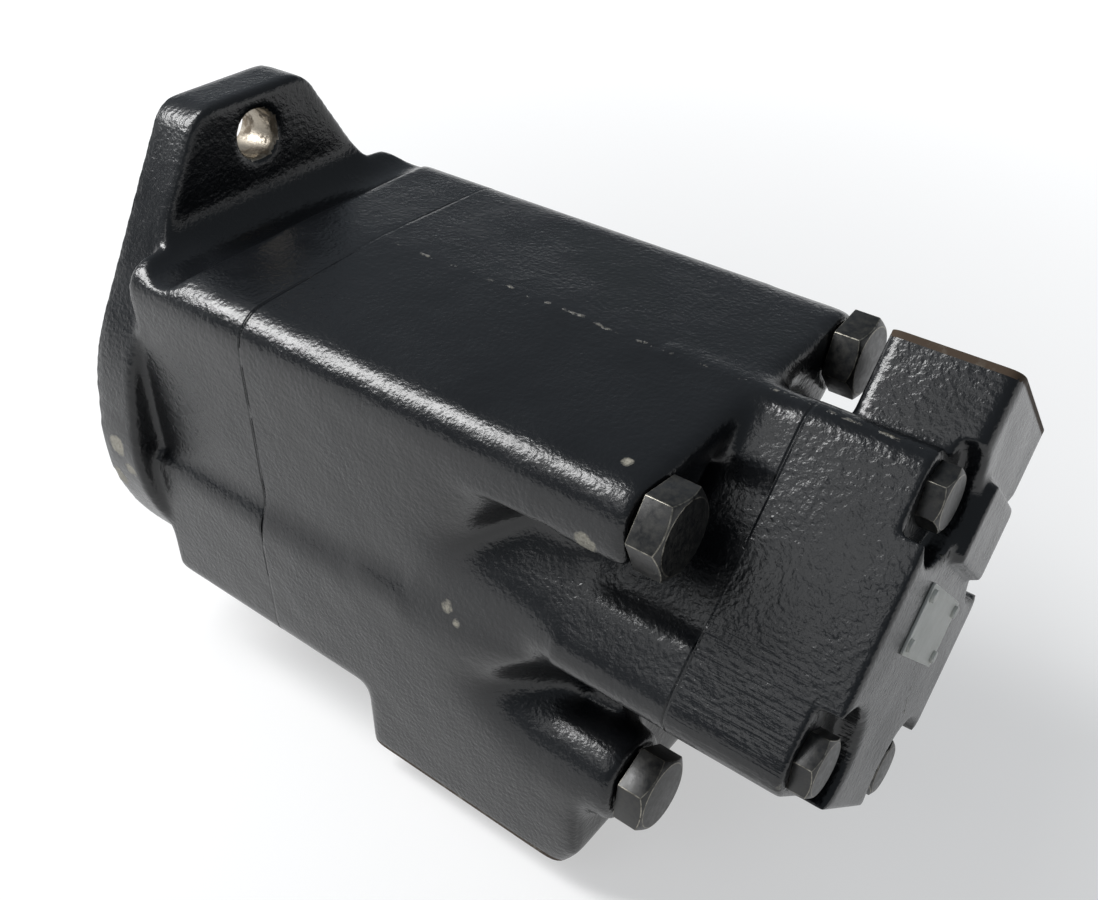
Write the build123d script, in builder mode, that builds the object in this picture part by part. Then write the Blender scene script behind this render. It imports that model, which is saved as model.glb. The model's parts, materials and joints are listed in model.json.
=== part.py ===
"""Double hydraulic vane pump: flanged front body, inlet body, rear cover and two vane cartridges.

Frame: millimetres. The origin is the centre of the mounting face on the shaft axis. +X runs along the
shaft from the mounting face to the rear cover, +Z points to the upper flange ear, and the suction port
opens towards -Z.
"""
import os
from copy import copy
from math import acos, atan2, cos, radians, sin, sqrt, tan

from build123d import *

# Mounting flange: two-bolt, 127 mm pilot
flange_thickness = 20.0
flange_radius = 76.0
flange_lower_radius = 77.8
flange_lower_drop = 11.6
ear_bolt_span = 181.0
ear_hole_radius = 8.75
ear_height = 106.5
ear_corner_radius = 13.5
ear_half_width = 30.5
ear_root_radius = 14.0
ear_root_rise = 9.0
pilot_radius = 63.5
pilot_length = 12.7
pilot_chamfer = 1.0

# Outer castings
body_half_width = 66.0
body_corner_radius = 12.5
body_crown = 2.2
front_body_length = 77.5
inlet_body_length = 167.7
cover_length = 44.8
block_half_width = 70.5
block_top = -10.0
block_bottom = -71.0
block_corner_radius = 7.0
pad_edge_radius = 1.5
block_rear = 217.0
lower_boss_radius = 16.0
neck_half_width = 51.5
neck_corner_radius = 9.0
neck_start = 196.0
neck_relief_depth = 3.0
neck_relief_start = 206.0
neck_relief_ramp = 10.0
neck_relief_half_width = 25.0

# Side valleys between the bolt bosses and the neck
valley_reach = 27.0
valley_lead = 1.0
valley_floor_radius = 9.0
valley_ramp = 27.0
valley_start_share = 0.12
upper_valley_start = 157.0
upper_valley_entry = 10.0
lower_valley_start = 173.0
lower_valley_entry = -34.0
upper_boss_edge = 43.5
upper_boss_slope = 16.0

# Main bolts that clamp the inlet body to the front body
main_bolt_radius = 8.0
main_bolt_offset = 53.6
main_bolt_flats = 24.0
main_bolt_head = 10.0
main_bolt_turns = (52.0, 22.0, 5.0, 37.0)
main_bolt_seat = 228.6
main_thread_depth = 27.0

# Cover bolts
cover_bolt_radius = 5.0
cover_bolt_circle = 55.7
cover_bolt_flats = 17.0
cover_bolt_head = 6.4
cover_bolt_turns = (10.0, 35.0, 52.0, 20.0)
cover_pocket_radius = 18.5
cover_pocket_depth = 8.0
cover_thread_depth = 22.0

# Suction port: 3 inch four-bolt flange pattern, opening downwards
suction_centre = 165.0
suction_face = -97.5
suction_half_length = 42.0
suction_bore_radius = 38.0
suction_bore_depth = 40.0
suction_span_x = 61.9
suction_span_y = 106.4
suction_thread_radius = 8.0
suction_thread_depth = 26.0
suction_bevel = 10.0

# Front outlet port: 1 1/4 inch four-bolt pattern, opening downwards
p1_centre = 50.0
p1_bore_radius = 16.0
p1_bore_depth = 17.0
p1_span_x = 30.2
p1_span_y = 58.7
p1_thread_radius = 5.0
p1_thread_depth = 17.0

# Rear outlet port: 3/4 inch four-bolt pattern, on the cover's upper far side
p2_face = 80.0
p2_half_width = 34.0
p2_front_step = 5.0
p2_bore_radius = 9.5
p2_span_x = 22.3
p2_span_y = 47.6
p2_thread_radius = 5.0
p2_thread_depth = 16.0
p2_corner_radius = 4.0
p2_bore_foot = 30.0

# Cast pad and nameplate on the rear face
pad_half_width = 20.0
pad_bottom = 26.5
pad_height = 3.7
pad_corner_radius = 3.0
nameplate_width = 46.0
nameplate_height = 22.0
nameplate_thickness = 0.8
nameplate_shift = -3.0
nameplate_rise = 7.7
nameplate_pin_radius = 1.2
nameplate_pin_head_radius = 2.0
nameplate_pin_head = 1.0
nameplate_pin_length = 5.0
nameplate_pin_margin = 3.4

# Shaft
shaft_radius = 15.875
shaft_extension = 58.7
shaft_chamfer = 1.5
bearing_journal_radius = 20.0
shaft_shoulder_radius = 22.5
shaft_shoulder_length = 2.0
seal_journal_radius = 19.0
waist_radius = 15.0
rear_journal_radius = 12.0
key_width = 7.94
key_height = 7.94
key_length = 38.0
key_inset = 4.0
key_depth = 4.0

# Ball bearing, 40 x 80 x 18
bearing_front = -9.0
bearing_width = 18.0
bearing_outer_radius = 40.0
ball_radius = 5.9
ball_count = 9
ball_circle = 30.0
race_shoulder = 4.0
race_play = 0.15
cage_thickness = 2.8
cage_width = 15.0
snap_ring_width = 1.75
snap_ring_depth = 1.8
snap_ring_bite = 3.6

# Shaft seal
seal_outer_radius = 31.0
seal_gap = 0.6
seal_width = 9.0
seal_wall = 1.2
seal_lip_width = 6.0
garter_radius = 1.1
seal_bore_depth = 10.0

# Front cartridge
front_cartridge_radius = 51.8
front_cartridge_overhang = 16.0
front_chamber_radius = 56.0
front_chamber_gap = 3.5
front_plate_thickness = 14.0
front_ring_width = 32.0
front_rotor_radius = 35.5
front_cam_rise = 4.3
front_vane_count = 12
front_vane_thickness = 3.2
front_vane_height = 13.0
front_hub_radius = 24.0
front_hub_length = 9.0
front_spline_major = 18.0
front_spline_minor = 16.2
front_pin_circle = 46.0
front_screw_circle = 46.0

# Rear cartridge
rear_cartridge_radius = 41.8
rear_plate_thickness = 13.0
rear_ring_width = 34.0
rear_plate_into_cover = 1.0
rear_chamber_outer = 38.0
rear_chamber_inner = 25.0
rear_chamber_depth = 18.0
rear_recess_play = 1.0
rear_rotor_radius = 27.0
rear_cam_rise = 3.4
rear_vane_count = 10
rear_vane_thickness = 2.6
rear_vane_height = 8.5
rear_hub_radius = 20.0
rear_hub_length = 8.0
rear_spline_major = 14.5
rear_spline_minor = 12.9
rear_pin_circle = 36.5
rear_screw_circle = 36.5
rear_bushing_length = 20.0
rear_bushing_wall = 3.0
rear_bore_relief = 2.0

# Shared cartridge details
cam_play = 0.8
vane_tip_rise = 0.4
spline_count = 14
spline_width = 3.4
pin_radius = 2.5
screw_radius = 2.5
screw_head_radius = 4.25
screw_head_height = 5.0
screw_angle = 38.0
kidney_arc = 48.0
kidney_width = 4.6
insert_height = 4.0
under_vane_share = 0.7
feed_groove_depth = 1.2
pin_bite = 6.0
screw_bite = 9.0
vane_tip_chamfer = 0.7
insert_share = 0.42
plate_shaft_play = 1.5

# Suction chamber
chamber_radius = 43.0
chamber_wall = 4.0
chamber_throat_half_width = 30.0
chamber_throat_inset = 5.0

# Seals
joint_ring_section = 1.5
front_joint_ring_radius = 57.8
cover_joint_ring_radius = 44.8
plate_ring_section = 1.2
ring_play = 0.1

# Fits
cartridge_play = 0.3
hub_play = 0.2
running_play = 0.05
side_play = 0.1
press_play = 0.01
thread_play = 0.02
bolt_hole_play = 0.75
bolt_end_play = 1.0

# Stations along the shaft, worked out from the sizes above
cover_joint = front_body_length + inlet_body_length
rear_face = cover_joint + cover_length
front_cartridge_end = front_body_length + front_cartridge_overhang
front_inlet_plate_start = front_cartridge_end - front_plate_thickness
front_ring_start = front_inlet_plate_start - front_ring_width
front_plate_start = front_ring_start - front_plate_thickness
front_chamber_floor = front_plate_start - front_chamber_gap
rear_plate_end = cover_joint + rear_plate_into_cover
rear_ring_end = rear_plate_end - rear_plate_thickness
rear_ring_start = rear_ring_end - rear_ring_width
rear_cartridge_start = rear_ring_start - rear_plate_thickness
bearing_rear = bearing_front + bearing_width
seal_start = bearing_rear + seal_gap
seal_seat = bearing_rear + seal_bore_depth
cover_recess_floor = rear_plate_end + rear_recess_play
rear_hub_end = rear_plate_end + rear_hub_length
bushing_start = rear_hub_end + 2 * rear_recess_play
bushing_end = bushing_start + rear_bushing_length
cover_pocket_floor = rear_face - cover_pocket_depth
p2_centre = (cover_joint + p2_front_step + rear_face) / 2
p2_half_length = (rear_face - cover_joint - p2_front_step) / 2

neck_apex = neck_half_width * sqrt(2)
valley_outside = body_half_width + valley_reach

# The port pads and the nameplate lie on planes turned by 45 degrees about the shaft
diagonal = (0, 1 / sqrt(2), 1 / sqrt(2))
p2_plane = Plane(
    origin=(p2_centre, p2_face * diagonal[1], p2_face * diagonal[2]), x_dir=(1, 0, 0), z_dir=diagonal
)
rear_plane = Plane(origin=(rear_face, 0, 0), x_dir=(0, 1 / sqrt(2), -1 / sqrt(2)), z_dir=(1, 0, 0))
nameplate_spot = (nameplate_shift, nameplate_rise)
pin_span_x = nameplate_width - 2 * nameplate_pin_margin
pin_span_y = nameplate_height - 2 * nameplate_pin_margin
main_bolt_corners = [(y, z) for y in (-main_bolt_offset, main_bolt_offset)
                     for z in (-main_bolt_offset, main_bolt_offset)]

os.makedirs("parts", exist_ok=True)


def across(x):
    """Plane square to the shaft at station x, with local x along +Y and local y along +Z."""
    return Plane.YZ.offset(x)


def write(part, name):
    """Label a finished piece and write it as one STEP file."""
    part.label = name
    export_step(part, f"parts/{name}.step")


def drill(x_start, x_end, radius, points=((0, 0),)):
    """Take holes along the shaft direction out of the part being built, at each (y, z) point."""
    with Locations(*[across(x_start) * Pos(y, z) for y, z in points]):
        Cylinder(radius, x_end - x_start, align=(Align.CENTER, Align.CENTER, Align.MIN), mode=Mode.SUBTRACT)


def neck_outline():
    """Rounded square standing on its corner, shared by the neck and the rear cover."""
    RectangleRounded(2 * neck_half_width, 2 * neck_half_width, neck_corner_radius, rotation=45)


def flange_outline():
    """Two-bolt flange: a plate a little fuller in its lower half, and two tapered ears."""
    corner = (ear_half_width - ear_corner_radius, ear_height - ear_corner_radius)
    Circle(flange_radius)
    with Locations((0, -flange_lower_drop)):
        Circle(flange_lower_radius)
    for side in (-1, 1):
        for end in (-1, 1):
            with Locations((side * corner[0], end * corner[1])):
                Circle(ear_corner_radius)
    for end, radius, drop in ((1, flange_radius, 0), (-1, flange_lower_radius, flange_lower_drop)):
        # Normal of the line tangent to the plate's arc and to the ear's corner arc
        rise = corner[1] - drop
        reach = sqrt(corner[0] ** 2 + rise**2)
        normal = atan2(rise, corner[0]) - acos((radius - ear_corner_radius) / reach)
        foot = (radius * cos(normal), drop + radius * sin(normal))
        shoulder = (corner[0] + ear_corner_radius * cos(normal), corner[1] + ear_corner_radius * sin(normal))
        Polygon(
            (-radius, end * drop),
            (-foot[0], end * foot[1]),
            (-shoulder[0], end * shoulder[1]),
            (-corner[0], end * ear_height),
            (corner[0], end * ear_height),
            (shoulder[0], end * shoulder[1]),
            (foot[0], end * foot[1]),
            (radius, end * drop),
            align=None,
        )
    Polygon(
        (-flange_radius, 0),
        (-flange_lower_radius, -flange_lower_drop),
        (flange_lower_radius, -flange_lower_drop),
        (flange_radius, 0),
        align=None,
    )


def body_section():
    """Rounded square with a slightly crowned top."""
    flat = body_half_width - body_corner_radius
    RectangleRounded(2 * body_half_width, 2 * body_half_width, body_corner_radius)
    Polygon((-flat, body_half_width), (0, body_half_width + body_crown), (flat, body_half_width), (0, 0),
            align=None)


def block_section(bottom):
    """Port block under the body, wider than the body and rounded at its four corners."""
    with Locations((0, (block_top + bottom) / 2)):
        RectangleRounded(2 * block_half_width, block_top - bottom, block_corner_radius)


def drawn_in(points, entry, share):
    """Outline points moved towards an entry point, for the shallow front end of a valley."""
    return [(entry[0] + share * (y - entry[0]), entry[1] + share * (z - entry[1])) for y, z in points]


def upper_valley_section(side, share):
    """Channel between the upper boss's under side and the neck's upper flat."""
    slope = tan(radians(upper_boss_slope))
    root = (neck_apex + slope * body_half_width - upper_boss_edge) / (1 + slope)
    outline = [
        (side * root, neck_apex - root),
        (side * neck_apex, 0),
        (side * valley_outside, 0),
        (side * valley_outside, upper_boss_edge + slope * valley_reach),
    ]
    corners = drawn_in(outline, (side * (body_half_width + valley_lead), upper_valley_entry), share)
    Polygon(*corners, align=None)
    fillet(vertices().sort_by_distance((*corners[0], 0))[0], share * valley_floor_radius)


def lower_valley_section(side, share):
    """Channel between the neck's lower flat and the round lower boss."""
    root = main_bolt_offset - lower_boss_radius / 2
    outline = [
        (side * neck_apex, 0),
        (side * root, root - neck_apex),
        (side * root, -main_bolt_offset),
        (side * valley_outside, -main_bolt_offset),
        (side * valley_outside, 0),
    ]
    entry = (side * (block_half_width + valley_lead), lower_valley_entry)
    Polygon(*drawn_in(outline, entry, share), align=None)
    with Locations(*drawn_in([(side * main_bolt_offset, -main_bolt_offset)], entry, share)):
        Circle(share * lower_boss_radius, mode=Mode.SUBTRACT)


def hex_bolt(seat, flats, head, radius, length):
    """Hexagon bolt with its head on the +X side of the seat and a chamfered head face."""
    corner = flats / sqrt(3)
    bevel = (corner - 0.47 * flats) * tan(radians(30))
    with BuildPart() as bolt:
        with BuildSketch(across(seat)):
            RegularPolygon(flats / 2, 6, major_radius=False, rotation=30)
        extrude(amount=head)
        with BuildSketch(Plane.XY):
            with BuildLine():
                Polyline((seat, 0), (seat, corner), (seat + head - bevel, corner),
                         (seat + head, 0.47 * flats), (seat + head, 0), close=True)
            make_face()
        revolve(axis=Axis.X, mode=Mode.INTERSECT)
        with BuildSketch(across(seat - length)):
            Circle(radius)
        extrude(amount=length)
        chamfer(edges().sort_by(Axis.X)[0], radius / 8)
    return bolt.part


def placed(shape, points, turns=None):
    """Copies of a shape moved to each (y, z) point, and turned about their own axes where turns are given."""
    turns = turns or [0.0] * len(points)
    return Compound(children=[Pos(0, y, z) * Rot(turn, 0, 0) * copy(shape)
                              for (y, z), turn in zip(points, turns)])


def turned(radius, count, start=0.0):
    """Points on a circle about the shaft, counted from the +Y direction."""
    return [
        (radius * cos(radians(start + 360 * i / count)), radius * sin(radians(start + 360 * i / count)))
        for i in range(count)
    ]


def ring(x_start, width, outer, inner):
    """Plain ring about the shaft."""
    with BuildPart() as piece:
        with BuildSketch(across(x_start)):
            Circle(outer)
            Circle(inner, mode=Mode.SUBTRACT)
        extrude(amount=width)
    return piece.part


def torus(x, radius, section):
    """Round-section ring about the shaft at station x."""
    with BuildPart() as piece:
        with BuildSketch(Plane.XY):
            with Locations((x, radius)):
                Circle(section)
        revolve(axis=Axis.X)
    return piece.part


def spline_outline(major, minor, play):
    """Straight-sided spline section, opened up by a clearance all round."""
    Circle(minor + play)
    with PolarLocations(0, spline_count):
        with Locations(((major + minor) / 2 / 2 + play / 2, 0)):
            Rectangle((major + minor) / 2 + play + (major - minor) / 2, spline_width + 2 * play)


# ---------------------------------------------------------------------------------------------
# Front body: mounting flange, bearing and seal bores, front cartridge bore and first outlet port
# ---------------------------------------------------------------------------------------------
with BuildPart() as front_body:
    with BuildSketch(across(0)):
        flange_outline()
    extrude(amount=flange_thickness)
    with BuildSketch(across(0)):
        Circle(pilot_radius)
    extrude(amount=-pilot_length)
    chamfer(edges().filter_by(GeomType.CIRCLE).sort_by(Axis.X)[0], pilot_chamfer)
    with BuildSketch(across(flange_thickness)):
        body_section()
        block_section(block_bottom)
    extrude(amount=front_body_length - flange_thickness)
    # Root fillet behind the upper ear, with the shallow hollow that the casting has there
    root_top = body_half_width + ear_root_rise
    with BuildSketch(across(flange_thickness)):
        flange_outline()
        with Locations((0, root_top - ear_root_radius)):
            Rectangle(4 * body_half_width, 2 * ear_root_radius, mode=Mode.INTERSECT)
    extrude(amount=ear_root_radius)
    with BuildSketch(Plane.XZ.offset(-ear_height)):
        with Locations((flange_thickness + ear_root_radius, root_top)):
            Circle(ear_root_radius)
    extrude(amount=2 * ear_height, mode=Mode.SUBTRACT)
    # Flange bolt holes
    drill(0, flange_thickness, ear_hole_radius, [(0, ear_bolt_span / 2), (0, -ear_bolt_span / 2)])
    # Bearing bore with its snap ring groove, seal bore, hub bore and cartridge bore
    drill(-pilot_length, bearing_rear, bearing_outer_radius + press_play)
    drill(bearing_front - snap_ring_width - press_play, bearing_front, bearing_outer_radius + snap_ring_depth)
    drill(bearing_rear, seal_seat, seal_outer_radius + press_play)
    drill(seal_seat, front_chamber_floor, front_hub_radius + hub_play)
    drill(front_chamber_floor, front_ring_start - 1, front_chamber_radius)
    drill(front_ring_start - 1, front_body_length, front_cartridge_radius + cartridge_play)
    drill(front_body_length - main_thread_depth, front_body_length, main_bolt_radius + thread_play,
          main_bolt_corners)
    # First outlet port on the under side
    with BuildSketch(Plane.XY.offset(block_bottom)):
        with Locations((p1_centre, 0)):
            Circle(p1_bore_radius)
    extrude(amount=p1_bore_depth, mode=Mode.SUBTRACT)
    with BuildSketch(Plane.XY.offset(block_bottom)):
        with Locations((p1_centre, 0)):
            with GridLocations(p1_span_x, p1_span_y, 2, 2):
                Circle(p1_thread_radius)
    extrude(amount=p1_thread_depth, mode=Mode.SUBTRACT)
write(front_body.part, "front_body")

# ---------------------------------------------------------------------------------------------
# Inlet body: suction port and chamber, bolt bosses, side valleys and the diamond neck
# ---------------------------------------------------------------------------------------------
with BuildPart() as inlet_body:
    with BuildSketch(across(front_body_length)):
        body_section()
    extrude(amount=main_bolt_seat - front_body_length)
    with BuildSketch(across(front_body_length)):
        block_section(block_bottom)
    extrude(amount=block_rear - front_body_length)
    # Suction block with a machined foot and a bevelled rear edge
    with BuildSketch(across(suction_centre - suction_half_length)):
        with Locations((0, suction_face / 2)):
            Rectangle(2 * block_half_width, -suction_face)
        fillet(vertices().group_by(Axis.Z)[0], pad_edge_radius)
        with Locations((0, block_top / 2)):
            Rectangle(2 * block_half_width, -block_top, mode=Mode.SUBTRACT)
    extrude(amount=block_rear - suction_centre + suction_half_length)
    with BuildSketch(Plane.XZ.offset(-body_half_width - valley_reach)):
        with BuildLine():
            Polyline((block_rear - suction_bevel, suction_face), (block_rear, suction_face),
                     (block_rear, suction_face + suction_bevel), close=True)
        make_face()
    extrude(amount=2 * (body_half_width + valley_reach), mode=Mode.SUBTRACT)
    # Behind the block only the lower bosses and the neck remain
    with BuildSketch(across(block_rear)):
        with Locations((0, -body_half_width / 2)):
            Rectangle(3 * body_half_width, body_half_width)
    extrude(amount=main_bolt_seat - block_rear, mode=Mode.SUBTRACT)
    # Valleys on both sides, each with a sloping front end
    for side in (-1, 1):
        for section, start in (
            (upper_valley_section, upper_valley_start),
            (lower_valley_section, lower_valley_start),
        ):
            with BuildSketch(across(start + valley_ramp)):
                section(side, 1)
            extrude(amount=cover_joint - start - valley_ramp, mode=Mode.SUBTRACT)
            with BuildSketch(across(start)):
                section(side, valley_start_share)
            with BuildSketch(across(start + valley_ramp)):
                section(side, 1)
            loft(mode=Mode.SUBTRACT)
    with BuildSketch(across(neck_start)):
        neck_outline()
    extrude(amount=cover_joint - neck_start)
    with BuildSketch(across(block_rear)):
        with Locations(*[corner for corner in main_bolt_corners if corner[1] < 0]):
            Circle(lower_boss_radius)
    extrude(amount=main_bolt_seat - block_rear)
    # Wrench reliefs on the four flats of the neck, which leave lands at its corners
    for quarter in range(4):
        along = radians(45 + 90 * quarter)
        flat_plane = Plane(origin=(0, 0, 0), x_dir=(1, 0, 0), z_dir=(0, cos(along), sin(along)))
        with BuildSketch(flat_plane):
            Polygon(
                (neck_relief_start, neck_half_width + neck_relief_depth),
                (neck_relief_start, neck_half_width),
                (neck_relief_start + neck_relief_ramp, neck_half_width - neck_relief_depth),
                (cover_joint, neck_half_width - neck_relief_depth),
                (cover_joint, neck_half_width + neck_relief_depth),
                align=None,
            )
        extrude(amount=neck_relief_half_width, both=True, mode=Mode.SUBTRACT)
    # Cartridge bores and the suction chamber between them
    drill(front_body_length, front_cartridge_end, front_cartridge_radius + cartridge_play)
    drill(front_cartridge_end, rear_cartridge_start - chamber_wall, chamber_radius)
    drill(rear_cartridge_start - chamber_wall, rear_cartridge_start, rear_rotor_radius + rear_cam_rise)
    drill(rear_cartridge_start, cover_joint, rear_cartridge_radius + cartridge_play)
    # Suction port
    with BuildSketch(Plane.XY.offset(suction_face)):
        with Locations((suction_centre, 0)):
            Circle(suction_bore_radius)
    extrude(amount=suction_bore_depth, mode=Mode.SUBTRACT)
    throat_start = suction_centre - suction_bore_radius + chamber_throat_inset
    throat_end = rear_cartridge_start - chamber_wall - chamber_throat_inset
    with BuildSketch(Plane.XY.offset(suction_face + suction_bore_depth)):
        with Locations(((throat_start + throat_end) / 2, 0)):
            Rectangle(throat_end - throat_start, 2 * chamber_throat_half_width)
    extrude(amount=chamber_radius - chamber_throat_inset, mode=Mode.SUBTRACT)
    with BuildSketch(Plane.XY.offset(suction_face)):
        with Locations((suction_centre, 0)):
            with GridLocations(suction_span_x, suction_span_y, 2, 2):
                Circle(suction_thread_radius)
    extrude(amount=suction_thread_depth, mode=Mode.SUBTRACT)
    # Bolt holes and joint seal grooves
    drill(front_body_length, main_bolt_seat, main_bolt_radius + bolt_hole_play, main_bolt_corners)
    drill(cover_joint - cover_thread_depth, cover_joint, cover_bolt_radius + thread_play,
          turned(cover_bolt_circle, 4))
    for joint, direction, radius in (
        (front_body_length, 1, front_joint_ring_radius),
        (cover_joint, -1, cover_joint_ring_radius),
    ):
        with BuildSketch(across(joint)):
            Circle(radius + joint_ring_section + ring_play)
            Circle(radius - joint_ring_section - ring_play, mode=Mode.SUBTRACT)
        extrude(amount=direction * (2 * joint_ring_section + ring_play), mode=Mode.SUBTRACT)
write(inlet_body.part, "inlet_body")

# ---------------------------------------------------------------------------------------------
# Rear cover: second outlet port, rear pressure chamber and bushing bore
# ---------------------------------------------------------------------------------------------
with BuildPart() as rear_cover:
    with BuildSketch(across(cover_joint)):
        neck_outline()
    extrude(amount=cover_length)
    # Outlet boss on the upper far side, flush with the rear face
    with BuildSketch(p2_plane):
        RectangleRounded(2 * p2_half_length, 2 * p2_half_width, p2_corner_radius)
    extrude(amount=-p2_face)
    # Cast pad between the outlet boss and the rear face
    with BuildSketch(rear_plane):
        with Locations((0, (pad_bottom + neck_half_width) / 2)):
            RectangleRounded(2 * pad_half_width, neck_half_width - pad_bottom, pad_corner_radius)
    extrude(amount=pad_height)
    # Bolt pockets and holes
    cover_bolt_points = turned(cover_bolt_circle, 4)
    drill(cover_pocket_floor, rear_face + pad_height, cover_pocket_radius, cover_bolt_points)
    drill(cover_joint, cover_pocket_floor, cover_bolt_radius + bolt_hole_play, cover_bolt_points)
    # Cartridge recess, pressure chamber around the hub, hub bore and bushing bore
    drill(cover_joint, cover_recess_floor, rear_cartridge_radius + cartridge_play)
    with BuildSketch(across(cover_recess_floor)):
        Circle(rear_chamber_outer)
        Circle(rear_chamber_inner, mode=Mode.SUBTRACT)
    extrude(amount=rear_chamber_depth, mode=Mode.SUBTRACT)
    drill(cover_recess_floor, bushing_start, rear_hub_radius + hub_play)
    drill(bushing_start, bushing_end + rear_bore_relief,
          rear_journal_radius + running_play + rear_bushing_wall + press_play)
    # Second outlet port
    with BuildSketch(p2_plane):
        Circle(p2_bore_radius)
    extrude(amount=p2_bore_foot - p2_face, mode=Mode.SUBTRACT)
    with BuildSketch(p2_plane):
        with GridLocations(p2_span_x, p2_span_y, 2, 2):
            Circle(p2_thread_radius)
    extrude(amount=-p2_thread_depth, mode=Mode.SUBTRACT)
    # Blind holes for the nameplate's drive pins
    with BuildSketch(rear_plane):
        with Locations(nameplate_spot):
            with GridLocations(pin_span_x, pin_span_y, 2, 2):
                Circle(nameplate_pin_radius + press_play)
    extrude(amount=-nameplate_pin_length, mode=Mode.SUBTRACT)
write(rear_cover.part, "rear_cover")

# ---------------------------------------------------------------------------------------------
# Fasteners of the casings
# ---------------------------------------------------------------------------------------------
main_bolt = hex_bolt(main_bolt_seat, main_bolt_flats, main_bolt_head, main_bolt_radius,
                     main_bolt_seat - front_body_length + main_thread_depth - bolt_end_play)
write(placed(main_bolt, main_bolt_corners, main_bolt_turns), "main_bolts")
cover_bolt = hex_bolt(cover_pocket_floor, cover_bolt_flats, cover_bolt_head, cover_bolt_radius,
                      cover_pocket_floor - cover_joint + cover_thread_depth - bolt_end_play)
write(placed(cover_bolt, turned(cover_bolt_circle, 4), cover_bolt_turns), "cover_bolts")

# ---------------------------------------------------------------------------------------------
# Nameplate on the rear face, held by four drive pins
# ---------------------------------------------------------------------------------------------
with BuildPart() as nameplate:
    with BuildSketch(rear_plane):
        with Locations(nameplate_spot):
            RectangleRounded(nameplate_width, nameplate_height, 1)
            with GridLocations(pin_span_x, pin_span_y, 2, 2):
                Circle(nameplate_pin_radius + press_play, mode=Mode.SUBTRACT)
    extrude(amount=nameplate_thickness)
write(nameplate.part, "nameplate")
with BuildPart() as nameplate_pins:
    with BuildSketch(rear_plane.offset(nameplate_thickness)):
        with Locations(nameplate_spot):
            with GridLocations(pin_span_x, pin_span_y, 2, 2):
                Circle(nameplate_pin_head_radius)
    extrude(amount=nameplate_pin_head)
    with BuildSketch(rear_plane.offset(nameplate_thickness)):
        with Locations(nameplate_spot):
            with GridLocations(pin_span_x, pin_span_y, 2, 2):
                Circle(nameplate_pin_radius)
    extrude(amount=-nameplate_pin_length)
write(nameplate_pins.part, "nameplate_pins")

# ---------------------------------------------------------------------------------------------
# Drive shaft and its key
# ---------------------------------------------------------------------------------------------
groove_front = bearing_front - snap_ring_width - press_play
with BuildPart() as drive_shaft:
    with BuildSketch(Plane.XY):
        with BuildLine():
            Polyline(
                (-shaft_extension, 0),
                (-shaft_extension, shaft_radius - shaft_chamfer),
                (-shaft_extension + shaft_chamfer, shaft_radius),
                (-pilot_length, shaft_radius),
                (-pilot_length, bearing_journal_radius),
                (groove_front, bearing_journal_radius),
                (groove_front, bearing_journal_radius - snap_ring_depth),
                (bearing_front, bearing_journal_radius - snap_ring_depth),
                (bearing_front, bearing_journal_radius),
                (bearing_rear, bearing_journal_radius),
                (bearing_rear, shaft_shoulder_radius),
                (bearing_rear + shaft_shoulder_length, shaft_shoulder_radius),
                (bearing_rear + shaft_shoulder_length, seal_journal_radius),
                (front_chamber_floor, seal_journal_radius),
                (front_chamber_floor, front_spline_minor),
                (front_cartridge_end, front_spline_minor),
                (front_cartridge_end, waist_radius),
                (rear_cartridge_start, waist_radius),
                (rear_cartridge_start, rear_spline_minor),
                (rear_plate_end, rear_spline_minor),
                (rear_plate_end, rear_journal_radius),
                (bushing_end, rear_journal_radius),
                (bushing_end, 0),
                close=True,
            )
        make_face()
    revolve(axis=Axis.X)
    for start, end, major, minor in (
        (front_ring_start, front_inlet_plate_start, front_spline_major, front_spline_minor),
        (rear_ring_start, rear_ring_end, rear_spline_major, rear_spline_minor),
    ):
        with BuildSketch(across(start)):
            spline_outline(major, minor, 0)
        extrude(amount=end - start)
    with BuildSketch(Plane.XY.offset(shaft_radius - key_depth)):
        with Locations((-shaft_extension + key_inset + key_length / 2, 0)):
            SlotOverall(key_length, key_width)
    extrude(amount=key_depth + shaft_chamfer, mode=Mode.SUBTRACT)
write(drive_shaft.part, "drive_shaft")
with BuildPart() as shaft_key:
    with BuildSketch(Plane.XY.offset(shaft_radius - key_depth + press_play)):
        with Locations((-shaft_extension + key_inset + key_length / 2, 0)):
            SlotOverall(key_length - 2 * press_play, key_width - 2 * press_play)
    extrude(amount=key_height)
write(shaft_key.part, "shaft_key")

# ---------------------------------------------------------------------------------------------
# Ball bearing and the snap rings that hold it
# ---------------------------------------------------------------------------------------------
bearing_middle = bearing_front + bearing_width / 2
race_radius = ball_radius + race_play
for name, outer, inner in (
    ("bearing_outer_ring", bearing_outer_radius, ball_circle + race_shoulder),
    ("bearing_inner_ring", ball_circle - race_shoulder, bearing_journal_radius + press_play),
):
    with BuildPart() as race:
        with BuildSketch(across(bearing_front)):
            Circle(outer)
            Circle(inner, mode=Mode.SUBTRACT)
        extrude(amount=bearing_width - press_play)
        chamfer(edges().filter_by(GeomType.CIRCLE).sort_by(SortBy.RADIUS)[-2:] if outer > ball_circle
                else edges().filter_by(GeomType.CIRCLE).sort_by(SortBy.RADIUS)[:2], 0.8)
        with BuildSketch(Plane.XY):
            with Locations((bearing_middle, ball_circle)):
                Circle(race_radius)
        revolve(axis=Axis.X, mode=Mode.SUBTRACT)
    write(race.part, name)
ball_points = turned(ball_circle, ball_count)
with BuildPart() as ball:
    with Locations((bearing_middle, 0, 0)):
        Sphere(ball_radius)
write(placed(ball.part, ball_points), "bearing_balls")
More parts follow.
